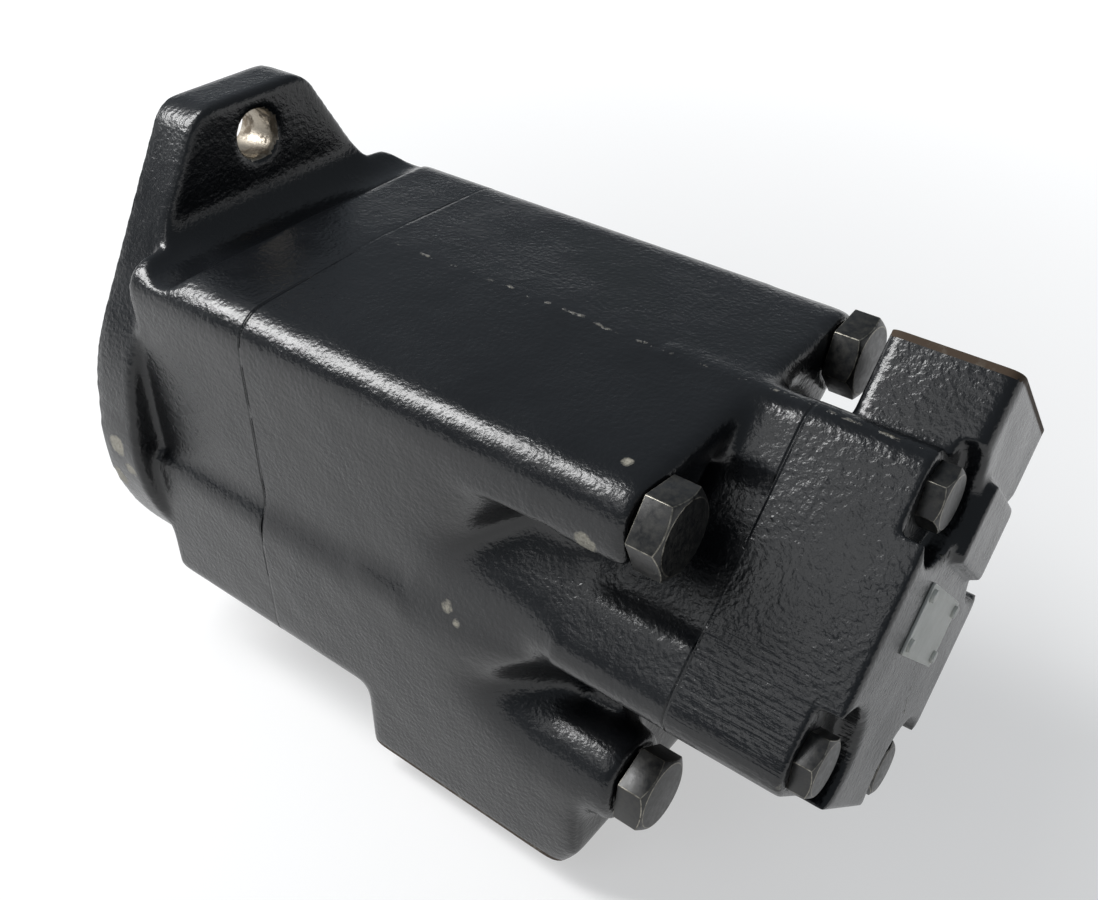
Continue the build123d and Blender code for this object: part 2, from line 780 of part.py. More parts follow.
with BuildPart() as bearing_cage:
    with BuildSketch(across(bearing_middle - cage_width / 2)):
        Circle(ball_circle + cage_thickness / 2)
        Circle(ball_circle - cage_thickness / 2, mode=Mode.SUBTRACT)
    extrude(amount=cage_width)
    with Locations(*[(bearing_middle, y, z) for y, z in ball_points]):
        Sphere(ball_radius + running_play, mode=Mode.SUBTRACT)
write(bearing_cage.part, "bearing_cage")
with BuildPart() as bore_snap_ring:
    with BuildSketch(across(groove_front + press_play)):
        Circle(bearing_outer_radius + snap_ring_depth - press_play)
        Circle(bearing_outer_radius - snap_ring_bite, mode=Mode.SUBTRACT)
        with Locations((0, -bearing_outer_radius)):
            Rectangle(2 * snap_ring_bite, 3 * snap_ring_bite, mode=Mode.SUBTRACT)
    extrude(amount=snap_ring_width - press_play)
write(bore_snap_ring.part, "bore_snap_ring")
with BuildPart() as shaft_snap_ring:
    with BuildSketch(across(groove_front + press_play)):
        Circle(bearing_journal_radius + snap_ring_bite)
        Circle(bearing_journal_radius - snap_ring_depth + press_play, mode=Mode.SUBTRACT)
        with Locations((0, -bearing_journal_radius)):
            Rectangle(2 * snap_ring_bite, 3 * snap_ring_bite, mode=Mode.SUBTRACT)
    extrude(amount=snap_ring_width - press_play)
write(shaft_snap_ring.part, "shaft_snap_ring")

# ---------------------------------------------------------------------------------------------
# Shaft seal: steel case, rubber lip and garter spring
# ---------------------------------------------------------------------------------------------
lip_root = seal_journal_radius + running_play
lip_outer = seal_journal_radius + seal_lip_width
lip_start = seal_start + seal_wall
lip_end = seal_start + seal_width
with BuildPart() as seal_case:
    with BuildSketch(Plane.XY):
        with BuildLine():
            Polyline(
                (seal_start, lip_outer),
                (seal_start, seal_outer_radius),
                (seal_start + seal_width, seal_outer_radius),
                (seal_start + seal_width, seal_outer_radius - seal_wall),
                (seal_start + seal_wall, seal_outer_radius - seal_wall),
                (seal_start + seal_wall, lip_outer),
                close=True,
            )
        make_face()
    revolve(axis=Axis.X)
write(seal_case.part, "seal_case")
with BuildPart() as seal_lip:
    with BuildSketch(Plane.XY):
        with BuildLine():
            Polyline(
                (lip_start, lip_outer + seal_wall),
                (lip_start, lip_outer - seal_wall),
                (lip_end - seal_lip_width / 2, lip_root),
                (lip_end, lip_root + seal_wall),
                (lip_end, lip_root + seal_lip_width / 2),
                (lip_end - seal_lip_width / 2, lip_root + seal_lip_width / 2),
                (lip_start + seal_wall, lip_outer),
                (lip_start + seal_wall, lip_outer + seal_wall),
                close=True,
            )
        make_face()
    revolve(axis=Axis.X)
write(seal_lip.part, "seal_lip")
write(torus(lip_end - garter_radius, lip_root + seal_lip_width / 2 + garter_radius, garter_radius),
      "seal_garter_spring")


# ---------------------------------------------------------------------------------------------
# Vane cartridges: pressure plate, cam ring, inlet plate, rotor, vanes, pins and screws
# ---------------------------------------------------------------------------------------------
def build_cartridge(name, pressure_end, ring_start, ring_width, plate_thickness, radius, rotor_radius, cam_rise,
                    vane_count, vane_thickness, vane_height, hub_radius, hub_length, spline_major,
                    spline_minor, pin_circle, screw_circle):
    """Write one cartridge; pressure_end is -1 or +1, the side of the ring that the pressure plate is on."""
    ring_end = ring_start + ring_width
    vane_tip = rotor_radius + vane_tip_rise
    slot_foot = vane_tip - vane_height - running_play
    under_vane_radius = under_vane_share * vane_thickness
    kidney_radius = rotor_radius + cam_rise / 2
    pins = turned(pin_circle, 2, 90)
    screws = turned(screw_circle, 2, screw_angle)
    pressure_face = ring_end if pressure_end > 0 else ring_start
    inlet_face = ring_start if pressure_end > 0 else ring_end

    with BuildPart() as pressure_plate:
        with BuildSketch(across(pressure_face)):
            Circle(radius)
        extrude(amount=pressure_end * plate_thickness)
        with BuildSketch(across(pressure_face)):
            Circle(hub_radius)
        extrude(amount=pressure_end * (plate_thickness + hub_length))
        hub_groove = pressure_face + pressure_end * (plate_thickness + hub_length / 2)
        with BuildSketch(across(hub_groove - plate_ring_section - ring_play)):
            Circle(hub_radius)
            Circle(hub_radius + hub_play - 2 * (plate_ring_section + ring_play), mode=Mode.SUBTRACT)
        extrude(amount=2 * (plate_ring_section + ring_play), mode=Mode.SUBTRACT)
        with BuildSketch(across(pressure_face)):
            Circle(spline_major + plate_shaft_play)
            SlotArc(CenterArc((0, 0), kidney_radius, 45 - kidney_arc / 2, kidney_arc), kidney_width)
            SlotArc(CenterArc((0, 0), kidney_radius, 225 - kidney_arc / 2, kidney_arc), kidney_width)
        extrude(amount=pressure_end * (plate_thickness + hub_length), mode=Mode.SUBTRACT)
        with BuildSketch(across(pressure_face)):
            Circle(slot_foot + under_vane_radius)
            Circle(slot_foot - under_vane_radius, mode=Mode.SUBTRACT)
        extrude(amount=pressure_end * feed_groove_depth, mode=Mode.SUBTRACT)
        with BuildSketch(across(pressure_face)):
            with Locations(*pins):
                Circle(pin_radius + thread_play)
        extrude(amount=pressure_end * (pin_bite + thread_play), mode=Mode.SUBTRACT)
        with BuildSketch(across(pressure_face)):
            with Locations(*screws):
                Circle(screw_radius + thread_play)
        extrude(amount=pressure_end * (screw_bite + thread_play), mode=Mode.SUBTRACT)
    write(pressure_plate.part, f"{name}_pressure_plate")
    write(torus(hub_groove, hub_radius + hub_play - plate_ring_section - ring_play, plate_ring_section),
          f"{name}_plate_o_ring")

    with BuildPart() as cam_ring:
        with BuildSketch(across(ring_start)):
            Circle(radius)
            Ellipse(rotor_radius + cam_play + cam_rise, rotor_radius + cam_play, mode=Mode.SUBTRACT)
            with Locations(*pins):
                Circle(pin_radius + thread_play, mode=Mode.SUBTRACT)
            with Locations(*screws):
                Circle(screw_radius + cartridge_play, mode=Mode.SUBTRACT)
        extrude(amount=ring_width)
    write(cam_ring.part, f"{name}_cam_ring")

    with BuildPart() as inlet_plate:
        with BuildSketch(across(inlet_face)):
            Circle(radius)
            Circle(spline_major + plate_shaft_play, mode=Mode.SUBTRACT)
            SlotArc(CenterArc((0, 0), kidney_radius, 135 - kidney_arc / 2, kidney_arc), kidney_width,
                    mode=Mode.SUBTRACT)
            SlotArc(CenterArc((0, 0), kidney_radius, 315 - kidney_arc / 2, kidney_arc), kidney_width,
                    mode=Mode.SUBTRACT)
            with Locations(*screws):
                Circle(screw_radius + cartridge_play, mode=Mode.SUBTRACT)
        extrude(amount=-pressure_end * plate_thickness)
        with BuildSketch(across(inlet_face)):
            with Locations(*pins):
                Circle(pin_radius + thread_play)
        extrude(amount=-pressure_end * (pin_bite + thread_play), mode=Mode.SUBTRACT)
        with BuildSketch(across(inlet_face - pressure_end * plate_thickness)):
            with Locations(*screws):
                Circle(screw_head_radius + cartridge_play)
        extrude(amount=pressure_end * (screw_head_height + running_play), mode=Mode.SUBTRACT)
    write(inlet_plate.part, f"{name}_inlet_plate")

    with BuildPart() as pin:
        with BuildSketch(across(ring_start - pin_bite)):
            Circle(pin_radius)
        extrude(amount=ring_width + 2 * pin_bite)
        chamfer(edges().filter_by(GeomType.CIRCLE), pin_radius / 5)
    write(placed(pin.part, pins), f"{name}_dowel_pins")

    head_seat = inlet_face - pressure_end * (plate_thickness - screw_head_height)
    with BuildPart() as screw:
        with BuildSketch(across(head_seat)):
            Circle(screw_head_radius)
        extrude(amount=-pressure_end * screw_head_height)
        with BuildSketch(across(head_seat)):
            Circle(screw_radius)
        extrude(amount=pressure_end * (plate_thickness - screw_head_height + ring_width + screw_bite))
        with BuildSketch(across(head_seat - pressure_end * screw_head_height)):
            RegularPolygon(screw_radius * 0.8, 6, major_radius=False)
        extrude(amount=pressure_end * screw_head_height / 2, mode=Mode.SUBTRACT)
    write(placed(screw.part, screws), f"{name}_cartridge_screws")

    rotor_start = ring_start + side_play
    rotor_width = ring_width - 2 * side_play
    with BuildPart() as rotor:
        with BuildSketch(across(rotor_start)):
            Circle(rotor_radius)
            with PolarLocations(0, vane_count):
                with Locations(((slot_foot + vane_tip) / 2, 0)):
                    Rectangle(vane_tip - slot_foot, vane_thickness + 2 * running_play, mode=Mode.SUBTRACT)
                with Locations((slot_foot, 0)):
                    Circle(under_vane_radius, mode=Mode.SUBTRACT)
        extrude(amount=rotor_width)
        with BuildSketch(across(rotor_start)):
            spline_outline(spline_major, spline_minor, running_play)
        extrude(amount=rotor_width, mode=Mode.SUBTRACT)
    write(rotor.part, f"{name}_rotor")

    vane_foot = vane_tip - vane_height
    vane_width = rotor_width - 2 * running_play
    middle = ring_start + ring_width / 2
    notch = insert_share * vane_width
    with BuildPart() as vane:
        with BuildSketch(Plane.XY.offset(-vane_thickness / 2)):
            with Locations((middle, (vane_foot + vane_tip) / 2)):
                Rectangle(vane_width, vane_height)
            with Locations((middle, vane_foot + insert_height / 2)):
                Rectangle(notch, insert_height, mode=Mode.SUBTRACT)
        extrude(amount=vane_thickness)
        chamfer(edges().filter_by(Axis.X).group_by(Axis.Y)[-1], vane_tip_chamfer)
    with BuildPart() as insert:
        with BuildSketch(Plane.XY.offset(-vane_thickness / 2)):
            with Locations((middle, vane_foot + insert_height / 2)):
                Rectangle(notch - 2 * running_play, insert_height - 2 * running_play)
        extrude(amount=vane_thickness)
    for shape, label in ((vane.part, "vanes"), (insert.part, "vane_inserts")):
        copies = [Rot(360 * i / vane_count, 0, 0) * copy(shape) for i in range(vane_count)]
        write(Compound(children=copies), f"{name}_{label}")


build_cartridge("front", -1, front_ring_start, front_ring_width, front_plate_thickness, front_cartridge_radius,
                front_rotor_radius, front_cam_rise, front_vane_count, front_vane_thickness, front_vane_height,
                front_hub_radius, front_hub_length, front_spline_major, front_spline_minor, front_pin_circle,
                front_screw_circle)
build_cartridge("rear", 1, rear_ring_start, rear_ring_width, rear_plate_thickness, rear_cartridge_radius,
                rear_rotor_radius, rear_cam_rise, rear_vane_count, rear_vane_thickness, rear_vane_height,
                rear_hub_radius, rear_hub_length, rear_spline_major, rear_spline_minor, rear_pin_circle,
                rear_screw_circle)

# ---------------------------------------------------------------------------------------------
# Rear bushing and the seals of the two casing joints
# ---------------------------------------------------------------------------------------------
write(ring(bushing_start, rear_bushing_length, rear_journal_radius + running_play + rear_bushing_wall,
           rear_journal_radius + running_play), "rear_bushing")
write(torus(front_body_length + joint_ring_section + ring_play / 2, front_joint_ring_radius,
            joint_ring_section), "front_joint_o_ring")
write(torus(cover_joint - joint_ring_section - ring_play / 2, cover_joint_ring_radius,
            joint_ring_section), "cover_joint_o_ring")
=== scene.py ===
import json
import math

import bmesh
import bpy
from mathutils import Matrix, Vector


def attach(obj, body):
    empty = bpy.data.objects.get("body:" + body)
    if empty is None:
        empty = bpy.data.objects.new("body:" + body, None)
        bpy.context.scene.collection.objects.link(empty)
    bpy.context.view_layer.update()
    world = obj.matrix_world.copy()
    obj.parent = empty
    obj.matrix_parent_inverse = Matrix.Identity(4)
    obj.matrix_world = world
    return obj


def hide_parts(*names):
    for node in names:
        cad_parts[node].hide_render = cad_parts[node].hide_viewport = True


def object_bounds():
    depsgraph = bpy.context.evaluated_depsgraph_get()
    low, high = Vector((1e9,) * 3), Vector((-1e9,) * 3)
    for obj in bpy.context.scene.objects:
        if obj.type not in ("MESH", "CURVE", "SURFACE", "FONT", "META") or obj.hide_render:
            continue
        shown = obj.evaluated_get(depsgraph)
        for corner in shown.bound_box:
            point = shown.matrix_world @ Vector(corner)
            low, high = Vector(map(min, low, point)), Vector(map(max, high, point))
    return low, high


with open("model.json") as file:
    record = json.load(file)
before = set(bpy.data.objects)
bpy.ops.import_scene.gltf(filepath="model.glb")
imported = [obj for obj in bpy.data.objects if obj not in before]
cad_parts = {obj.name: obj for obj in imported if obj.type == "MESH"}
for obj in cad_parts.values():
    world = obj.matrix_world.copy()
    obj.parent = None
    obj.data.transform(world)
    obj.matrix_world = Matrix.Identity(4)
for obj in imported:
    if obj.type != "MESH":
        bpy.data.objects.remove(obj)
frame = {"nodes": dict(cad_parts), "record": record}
nodes = frame["nodes"]
cad_box = [list(corner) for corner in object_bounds()]
MM = 0.001


# Camera: stands behind the pump on its suction side, above and to the left of the rear cover, and
# looks along the casings towards the mounting flange.
camera = bpy.data.objects.new("camera", bpy.data.cameras.new("camera"))
bpy.context.scene.collection.objects.link(camera)
camera.location = (0.35714, -0.26327, 0.26184)
camera.rotation_euler = [math.radians(a) for a in (52.973, 0.039, 37.953)]
camera.data.lens = 39.744
camera.data.sensor_width = 36
camera.data.clip_start = 0.01
camera.data.clip_end = 20
bpy.context.scene.camera = camera
bpy.context.scene.view_settings.view_transform = "Standard"


# Floor and light: a white paper sweep that the pump stands over, whose glow is painted weaker near
# the pump as a painted shade on the floor round it, which also dims the floor's reflection in the
# pump; one soft window lamp beyond the flange that draws the highlight along the casings' shoulders,
# a weak fill, and a cool grey room.
def hex_colour(text):
    """An sRGB hex colour as linear RGBA."""
    parts = [int(text[i:i + 2], 16) / 255 for i in (0, 2, 4)]
    return [p / 12.92 if p <= 0.04045 else ((p + 0.055) / 1.055) ** 2.4 for p in parts] + [1]


def add_node(material, kind, settings={}, inputs={}):
    """Add a shader node. Settings are its properties, inputs are values or sockets to link from."""
    made = material.node_tree.nodes.new(kind)
    for name, value in settings.items():
        setattr(made, name, value)
    for name, value in inputs.items():
        if isinstance(value, bpy.types.NodeSocket):
            material.node_tree.links.new(value, made.inputs[name])
        else:
            made.inputs[name].default_value = value
    return made


def new_material(name):
    """An empty node material and its output node."""
    material = bpy.data.materials.new(name)
    material.use_nodes = True
    material.node_tree.nodes.clear()
    return material, add_node(material, "ShaderNodeOutputMaterial")


def new_object(name, mesh):
    """An object at the origin that holds the mesh."""
    piece = bpy.data.objects.new(name, mesh)
    bpy.context.scene.collection.objects.link(piece)
    return piece


floor_drop = 3.0 * MM
floor_half = 6.0
floor_rise = 1.0
floor_mesh = bpy.data.meshes.new("floor")
shape = bmesh.new()
bmesh.ops.create_grid(shape, x_segments=3, y_segments=3, size=floor_half)
bmesh.ops.translate(shape, verts=shape.verts, vec=(0, 0, cad_box[0][2] - floor_drop))
upturned = [v for v in shape.verts if max(abs(v.co.x), abs(v.co.y)) > 0.9 * floor_half]
bmesh.ops.translate(shape, verts=upturned, vec=(0, 0, floor_rise))
shape.to_mesh(floor_mesh)
shape.free()
floor = new_object("floor", floor_mesh)
paper, output = new_material("white_paper_sweep")
rays = add_node(paper, "ShaderNodeLightPath")
seen = add_node(paper, "ShaderNodeMath", {"operation": "MAXIMUM"},
                {0: rays.outputs["Is Camera Ray"], 1: rays.outputs["Is Glossy Ray"]})
seen = add_node(paper, "ShaderNodeMath", {"operation": "MAXIMUM"},
                {0: seen.outputs[0], 1: rays.outputs["Is Transmission Ray"]})
matt = add_node(paper, "ShaderNodeBsdfDiffuse", inputs={"Color": hex_colour("B4B4B4")})
spot = add_node(paper, "ShaderNodeTexCoord").outputs["Object"]
away = add_node(paper, "ShaderNodeVectorMath", {"operation": "LENGTH"}, {0: spot})
# Painted shade: the paper's glow is weaker within about a metre of the pump, darkening the floor round it and
# its reflection in the pump
white = add_node(paper, "ShaderNodeMapRange", inputs={"Value": away.outputs["Value"],
                 "From Min": 0.35, "From Max": 1.0, "To Min": 0.50, "To Max": 0.98})
glow = add_node(paper, "ShaderNodeEmission",
                inputs={"Color": hex_colour("FFFFFF"), "Strength": white.outputs[0]})
lit = add_node(paper, "ShaderNodeAddShader", inputs={0: matt.outputs[0], 1: glow.outputs[0]})
mixed = add_node(paper, "ShaderNodeMixShader",
                 inputs={0: seen.outputs[0], 1: matt.outputs[0], 2: lit.outputs[0]})
paper.node_tree.links.new(mixed.outputs[0], output.inputs["Surface"])
floor_mesh.materials.append(paper)

for name, place, aim, width, height, power in (
    ("window_lamp", (-0.45, -0.33, 0.78), (0.13, -0.05, 0.05), 0.76, 0.28, 13.0),
    ("near_fill_lamp", (0.0, -0.95, 0.98), (0.2, 0, 0), 0.55, 0.55, 1.4),
):
    lamp = bpy.data.lights.new(name, "AREA")
    lamp.shape = "RECTANGLE"
    lamp.size = width
    lamp.size_y = height
    lamp.energy = power
    holder = bpy.data.objects.new(name, lamp)
    bpy.context.scene.collection.objects.link(holder)
    holder.location = place
    holder.rotation_euler = (Vector(aim) - Vector(place)).to_track_quat("-Z", "X").to_euler()

world = bpy.data.worlds.new("room")
bpy.context.scene.world = world
world.use_nodes = True
sky = world.node_tree.nodes["Background"]
sky.inputs["Color"].default_value = hex_colour("DCE6F0")
sky.inputs["Strength"].default_value = 0.30


# Castings: sand-cast grey iron, sprayed with gloss black enamel over all three joints, so the sand's
# pebbles, the flash at the mould's parting line and small chips show through it. The port faces and
# the mounting face are milled and have begun to rust.
def painted_iron(name, grain, depth, joints, chips, lined=False):
    """Gloss black enamel over sand-cast iron. The grain is the sand's pitch and depth its relief. The
    joints are where the paint bridges a joint across the shaft, and has cracked along parts of it. The
    chips are the (x, y, z, reach), in millimetres, of places where the paint is knocked off. A lined
    casting has fine grinding lines along the shaft on its sides."""
    material, output = new_material(name)
    place = add_node(material, "ShaderNodeTexCoord").outputs["Object"]
    grains = add_node(material, "ShaderNodeTexNoise", inputs={"Vector": place, "Scale": 1 / grain,
                      "Detail": 2.5, "Roughness": 0.5})
    waves = add_node(material, "ShaderNodeTexNoise", inputs={"Vector": place, "Scale": 1 / (20 * MM),
                     "Detail": 2.0, "Roughness": 0.5})
    fine = add_node(material, "ShaderNodeTexNoise", inputs={"Vector": place, "Scale": 1 / (0.6 * MM),
                    "Detail": 1.0, "Roughness": 0.5})
    patch = add_node(material, "ShaderNodeTexNoise", inputs={"Vector": place, "Scale": 1 / (30 * MM),
                     "Detail": 3.0, "Roughness": 0.6})
    rough_patch = add_node(material, "ShaderNodeMapRange", inputs={"Value": patch.outputs["Fac"],
                           "From Min": 0.35, "From Max": 0.65, "To Min": 0.5, "To Max": 1.0})
    relief = add_node(material, "ShaderNodeMath", {"operation": "MULTIPLY"},
                      {0: grains.outputs["Fac"], 1: rough_patch.outputs[0]})
    bump = add_node(material, "ShaderNodeBump", inputs={"Height": waves.outputs["Fac"],
                    "Strength": 1.0, "Distance": 0.5 * MM})
    bump = add_node(material, "ShaderNodeBump", inputs={"Height": relief.outputs[0],
                    "Strength": 1.0, "Distance": depth, "Normal": bump.outputs[0]})
    bump = add_node(material, "ShaderNodeBump", inputs={"Height": fine.outputs["Fac"],
                    "Strength": 1.0, "Distance": 0.03 * MM, "Normal": bump.outputs[0]})
    axes = add_node(material, "ShaderNodeSeparateXYZ", inputs={0: place})
    if lined:
        # Grinding lines 1.2 mm apart, drawn out along the shaft, on the lower half of each side
        along = add_node(material, "ShaderNodeMapping",
                         inputs={"Vector": place, "Scale": (0.04, 1.0, 1.0)})
        lines = add_node(material, "ShaderNodeTexNoise", inputs={"Vector": along.outputs[0],
                         "Scale": 1 / (1.2 * MM), "Detail": 2.0, "Roughness": 0.5})
        low = add_node(material, "ShaderNodeMapRange", inputs={"Value": axes.outputs["Z"],
                       "From Min": 38 * MM, "From Max": 22 * MM})
        ground = add_node(material, "ShaderNodeMath", {"operation": "MULTIPLY"},
                          {0: lines.outputs["Fac"], 1: low.outputs[0]})
        bump = add_node(material, "ShaderNodeBump", inputs={"Height": ground.outputs[0],
                        "Strength": 1.0, "Distance": 0.22 * MM, "Normal": bump.outputs[0]})
    for joint in joints:
        aside = add_node(material, "ShaderNodeMath", {"operation": "SUBTRACT"},
                         {0: axes.outputs["X"], 1: joint})
        aside = add_node(material, "ShaderNodeMath", {"operation": "ABSOLUTE"}, {0: aside.outputs[0]})
        crack = add_node(material, "ShaderNodeMapRange", inputs={"Value": aside.outputs[0],
                         "From Min": 0.8 * MM, "From Max": 0.1 * MM})
        parted = add_node(material, "ShaderNodeMapRange", inputs={"Value": patch.outputs["Fac"],
                          "From Min": 0.44, "From Max": 0.54, "To Min": 0.12})
        crack = add_node(material, "ShaderNodeMath", {"operation": "MULTIPLY"},
                         {0: crack.outputs[0], 1: parted.outputs[0]})
        bump = add_node(material, "ShaderNodeBump", {"invert": True},
                        {"Height": crack.outputs[0], "Strength": 1.0, "Distance": 0.6 * MM,
                         "Normal": bump.outputs[0]})
    # Flash: the broken ridge that the mould's parting line leaves along the top, 1 mm wide
    wander = add_node(material, "ShaderNodeMath", {"operation": "MULTIPLY_ADD"},
                      {0: waves.outputs["Fac"], 1: 7 * MM, 2: -4 * MM})
    beside = add_node(material, "ShaderNodeMath", {"operation": "SUBTRACT"},
                      {0: axes.outputs["Y"], 1: wander.outputs[0]})
    beside = add_node(material, "ShaderNodeMath", {"operation": "ABSOLUTE"}, {0: beside.outputs[0]})
    ridge = add_node(material, "ShaderNodeMapRange", inputs={"Value": beside.outputs[0],
                     "From Min": 0.8 * MM, "From Max": 0.1 * MM})
    above = add_node(material, "ShaderNodeMapRange", inputs={"Value": axes.outputs["X"],
                     "From Min": 84 * MM, "From Max": 90 * MM})
    gaps = add_node(material, "ShaderNodeTexNoise", inputs={"Vector": place, "Scale": 1 / (6 * MM),
                    "Detail": 4.0, "Roughness": 0.75})
    kept = add_node(material, "ShaderNodeMapRange", inputs={"Value": gaps.outputs["Fac"],
                    "From Min": 0.53, "From Max": 0.66})
    flash = add_node(material, "ShaderNodeMath", {"operation": "MULTIPLY"},
                     {0: ridge.outputs[0], 1: above.outputs[0]})
    flash = add_node(material, "ShaderNodeMath", {"operation": "MULTIPLY"},
                     {0: flash.outputs[0], 1: kept.outputs[0]})
    bump = add_node(material, "ShaderNodeBump", inputs={"Height": flash.outputs[0],
                    "Strength": 1.0, "Distance": 0.5 * MM, "Normal": bump.outputs[0]})
    bare = flash.outputs[0]
    for x, y, z, reach in chips:
        far = add_node(material, "ShaderNodeVectorMath", {"operation": "DISTANCE"},
                       {0: place, 1: (x * MM, y * MM, z * MM)})
        near = add_node(material, "ShaderNodeMapRange", inputs={"Value": far.outputs["Value"],
                        "From Min": reach * MM, "From Max": 0.0})
        torn = add_node(material, "ShaderNodeMath", {"operation": "MULTIPLY"},
                        {0: near.outputs[0], 1: gaps.outputs["Fac"]})
        edge = add_node(material, "ShaderNodeMapRange", inputs={"Value": torn.outputs[0],
                        "From Min": 0.16, "From Max": 0.24})
        bare = add_node(material, "ShaderNodeMath", {"operation": "MAXIMUM"},
                        {0: bare, 1: edge.outputs[0]}).outputs[0]
    colour = add_node(material, "ShaderNodeMix", {"data_type": "RGBA"},
                      {"Factor": patch.outputs["Fac"], 6: hex_colour("0A0B0D"), 7: hex_colour("131518")})
    metal = add_node(material, "ShaderNodeMix", {"data_type": "RGBA"},
                     {"Factor": fine.outputs["Fac"], 6: hex_colour("5E5B52"), 7: hex_colour("B5B0A2")})
    colour = add_node(material, "ShaderNodeMix", {"data_type": "RGBA"},
                      {"Factor": bare, 6: colour.outputs[2], 7: metal.outputs[2]})
    shine = add_node(material, "ShaderNodeMapRange", inputs={"Value": patch.outputs["Fac"],
                     "From Min": 0.3, "From Max": 0.7, "To Min": 0.21, "To Max": 0.31})
    shine = add_node(material, "ShaderNodeMath", {"operation": "MULTIPLY_ADD"},
                     {0: bare, 1: 0.3, 2: shine.outputs[0]})
    enamel = add_node(material, "ShaderNodeBsdfPrincipled", inputs={
        "Base Color": colour.outputs[2], "Roughness": shine.outputs[0], "IOR": 1.5,
        "Normal": bump.outputs[0]})
    material.node_tree.links.new(enamel.outputs[0], output.inputs["Surface"])
    return material


def bare_iron(name, clean, rusty, cover):
    """Milled grey iron with cutter marks 1.1 mm apart, and rust over the given share of it."""
    material, output = new_material(name)
    place = add_node(material, "ShaderNodeTexCoord").outputs["Object"]
    marks = add_node(material, "ShaderNodeTexNoise", inputs={"Vector": place, "Scale": 1 / (1.1 * MM),
                     "Detail": 3.0, "Roughness": 0.6})
    bloom = add_node(material, "ShaderNodeTexNoise", inputs={"Vector": place, "Scale": 1 / (7 * MM),
                     "Detail": 5.0, "Roughness": 0.65})
    spread = add_node(material, "ShaderNodeMapRange", inputs={"Value": bloom.outputs["Fac"],
                      "From Min": 0.62 - 0.35 * cover, "From Max": 0.72 - 0.30 * cover})
    colour = add_node(material, "ShaderNodeMix", {"data_type": "RGBA"},
                      {"Factor": spread.outputs[0], 6: hex_colour(clean), 7: hex_colour(rusty)})
    dull = add_node(material, "ShaderNodeMapRange", inputs={"Value": spread.outputs[0],
                    "To Min": 0.42, "To Max": 0.8})
    metal = add_node(material, "ShaderNodeMapRange", inputs={"Value": spread.outputs[0],
                     "To Min": 0.85, "To Max": 0.0})
    bump = add_node(material, "ShaderNodeBump", inputs={"Height": marks.outputs["Fac"],
                    "Strength": 1.0, "Distance": 0.06 * MM})
    iron = add_node(material, "ShaderNodeBsdfPrincipled", inputs={
        "Base Color": colour.outputs[2], "Roughness": dull.outputs[0],
        "Metallic": metal.outputs[0], "Normal": bump.outputs[0]})
    material.node_tree.links.new(iron.outputs[0], output.inputs["Surface"])
    return material


rusted = bare_iron("milled_cast_iron_with_rust", "5A5348", "3B2C1C", 0.9)
bright = bare_iron("bored_cast_iron", "A59D90", "6E6252", 0.35)
PAINTED, RUSTED, BRIGHT = 0, 1, 2


saw_allowance = 4
flat_band = 3.5 * MM
same_plane = 0.01 * MM


def casting(name, node, grain, rounds, enamel, ends, flats, fixed, softer, finish):
    """Turn a CAD casting into one with cast-soft edges. The ends are the machined planes that it stops
    at, as (point, outward normal): it is drawn out four grains past them, softened, and sawn off there,
    so that their rims stay sharp. The flats are other machined planes across the shaft. fixed(p) guards bored
    points, softer lists (test, rounds) for places that are rounder still, and finish(centre, normal)
    picks each face's material."""
    source = bmesh.new()
    source.from_mesh(nodes[node].data)
    bmesh.ops.remove_doubles(source, verts=source.verts, dist=0.002 * MM)
    for point, normal in ends:
        for v in source.verts:
            if abs((v.co - Vector(point)).dot(Vector(normal))) < same_plane:
                v.co += Vector(normal) * saw_allowance * grain
    mesh = bpy.data.meshes.new(name)
    source.to_mesh(mesh)
    source.free()
    piece = new_object(name, mesh)
    remesh = piece.modifiers.new("skin", "REMESH")
    remesh.mode = "VOXEL"
    remesh.voxel_size = grain
    skin = bpy.data.meshes.new_from_object(piece.evaluated_get(bpy.context.evaluated_depsgraph_get()))
    piece.modifiers.clear()
    shape = bmesh.new()
    shape.from_mesh(skin)
    free, banded = [], []
    for v in shape.verts:
        if fixed(v.co):
            continue
        flat = [place for place in flats if abs(v.co.x - place) < flat_band]
        if flat and abs(v.co.x - flat[0]) < 0.7 * grain:
            v.co.x = flat[0]
        (banded if flat else free).append(v)
    for _ in range(rounds):
        bmesh.ops.smooth_vert(shape, verts=free, factor=0.5, use_axis_x=True, use_axis_y=True,
                              use_axis_z=True)
        bmesh.ops.smooth_vert(shape, verts=banded, factor=0.5, use_axis_x=False, use_axis_y=True,
                              use_axis_z=True)
    for test, extra in softer:
        soft = [v for v in free if test(v.co)]
        for _ in range(extra):
            bmesh.ops.smooth_vert(shape, verts=soft, factor=0.5, use_axis_x=True, use_axis_y=True,
                                  use_axis_z=True)
    for point, normal in ends:
        sawn = bmesh.ops.bisect_plane(shape, geom=shape.verts[:] + shape.edges[:] + shape.faces[:],
                                      plane_co=point, plane_no=normal, clear_outer=True)
        rim = [e for e in sawn["geom_cut"] if isinstance(e, bmesh.types.BMEdge)]
        bmesh.ops.triangle_fill(shape, edges=rim, use_beauty=True, use_dissolve=False)
    bmesh.ops.recalc_face_normals(shape, faces=shape.faces)
    for face in shape.faces:
        face.smooth = True
        face.material_index = finish(face.calc_center_median(), face.normal)
    mesh.materials.clear()
    shape.to_mesh(mesh)
    shape.free()
    mesh.set_sharp_from_angle(angle=math.radians(60))
    for coat in (enamel, rusted, bright):
        mesh.materials.append(coat)
    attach(piece, "housing")
    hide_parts(node)
    return piece


def shoulder(p):
    """The long step where the lower block stands out of the casings' sides."""
    return abs(p.y) > 55 * MM and -24 * MM < p.z < 4 * MM and 24 * MM < p.x < 150 * MM


